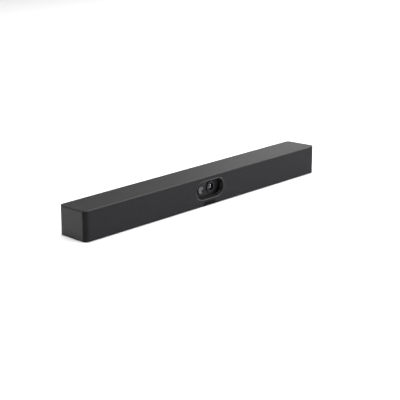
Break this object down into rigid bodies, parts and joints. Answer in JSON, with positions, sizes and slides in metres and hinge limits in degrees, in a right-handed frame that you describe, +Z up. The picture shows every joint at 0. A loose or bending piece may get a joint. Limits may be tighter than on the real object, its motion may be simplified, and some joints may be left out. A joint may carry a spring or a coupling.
{
  "type": "conference camera",
  "caption": "Long low video bar with a recessed camera window, sliding privacy shutter, full-width grille and a rear port recess.",
  "frame": {"origin": "middle of the bar's footprint on the table plane under the feet", "axes": "+X along the bar towards its right end as seen from the front, -Y out of the front grille, +Z up"},
  "size_m": [0.5, 0.0584, 0.047],
  "materials": {
    "moulded_shell": "fine matt mould texture, dark grey",
    "inner_black": "matt black moulded plastic",
    "grille_steel": "perforated sheet steel, dark grey powder coat",
    "gloss_black": "gloss black moulded plastic",
    "trim_satin": "satin dark grey trim",
    "lens_black": "black anodised turned aluminium",
    "lens_glass": "coated optical glass",
    "board": "green solder mask on glass laminate",
    "steel": "nickel plated steel",
    "zinc_screw": "zinc plated steel",
    "brass": "machined brass",
    "rubber": "matt black silicone rubber",
    "cone_paper": "black pressed paper",
    "film_cable": "amber polyimide film",
    "heat_sink_alloy": "extruded aluminium",
    "magnet": "zinc plated iron and ferrite"
  },
  "bodies": {
    "bar": {"rear_housing": "moulded_shell", "top_cover": "moulded_shell", "bottom_cover": "inner_black", "front_frame": "inner_black", "front_grille": "grille_steel", "badge_plate": "gloss_black", "window_trim": "trim_satin", "window_bezel": "gloss_black", "camera_frame": "inner_black", "wide_lens_barrel": "lens_black", "wide_lens_glass": "lens_glass", "tele_lens_barrel": "lens_black", "tele_lens_glass": "lens_glass", "lens_holders": "inner_black", "image_sensors": "gloss_black", "camera_board": "board", "camera_board_screws": "zinc_screw", "camera_frame_screws": "zinc_screw", "shutter_motor": "steel", "camera_ribbon": "film_cable", "left_microphone_board": "board", "right_microphone_board": "board", "microphones": "steel", "microphone_gaskets": "rubber", "microphone_ribbons": "film_cable", "left_speaker_box": "inner_black", "right_speaker_box": "inner_black", "left_speaker_basket": "steel", "right_speaker_basket": "steel", "left_speaker_magnet": "magnet", "right_speaker_magnet": "magnet", "left_speaker_surround": "rubber", "right_speaker_surround": "rubber", "speaker_gaskets": "rubber", "speaker_screws": "zinc_screw", "speaker_leads": "rubber", "main_board": "board", "board_chips": "gloss_black", "thermal_pads": "rubber", "heat_sink": "heat_sink_alloy", "board_screws": "zinc_screw", "power_jack": "inner_black", "network_port": "steel", "video_ports": "steel", "data_ports": "steel", "small_data_port": "steel", "audio_jack": "inner_black", "button_switches": "inner_black", "wireless_antennas": "board", "tripod_insert": "brass", "bracket_inserts": "brass", "rubber_feet": "rubber", "case_screws": "zinc_screw"},
    "shutter": {"privacy_shutter": "gloss_black"},
    "pinion": {"shutter_pinion": "brass"},
    "power_key": {"power_button": "moulded_shell"},
    "reset_key": {"reset_button": "inner_black"},
    "left_cone": {"left_speaker_cone": "cone_paper"},
    "right_cone": {"right_speaker_cone": "cone_paper"}
  },
  "joints": [
    {"name": "shutter_slide", "type": "slide", "parent": "bar", "child": "shutter", "axis": [-1, 0, 0], "range_m": [0, 0.058]},
    {"name": "pinion_spin", "type": "hinge", "parent": "bar", "child": "pinion", "pos_m": [0.034, -0.0199, 0.0347], "axis": [0, -1, 0], "range_deg": [0, 924]},
    {"name": "power_press", "type": "slide", "parent": "bar", "child": "power_key", "axis": [0, -1, 0], "range_m": [0, 0.0006], "stiffness_N_per_m": 2500},
    {"name": "reset_press", "type": "slide", "parent": "bar", "child": "reset_key", "axis": [0, -1, 0], "range_m": [0, 0.0006], "stiffness_N_per_m": 2000},
    {"name": "left_cone_stroke", "type": "slide", "parent": "bar", "child": "left_cone", "axis": [0, -1, 0], "range_m": [-0.0015, 0.0015], "stiffness_N_per_m": 1500},
    {"name": "right_cone_stroke", "type": "slide", "parent": "bar", "child": "right_cone", "axis": [0, -1, 0], "range_m": [-0.0015, 0.0015], "stiffness_N_per_m": 1500}
  ],
  "couplings": [
    {"joint": "pinion_spin", "follows": "shutter_slide", "rad_per_m": 277.78}
  ]
}
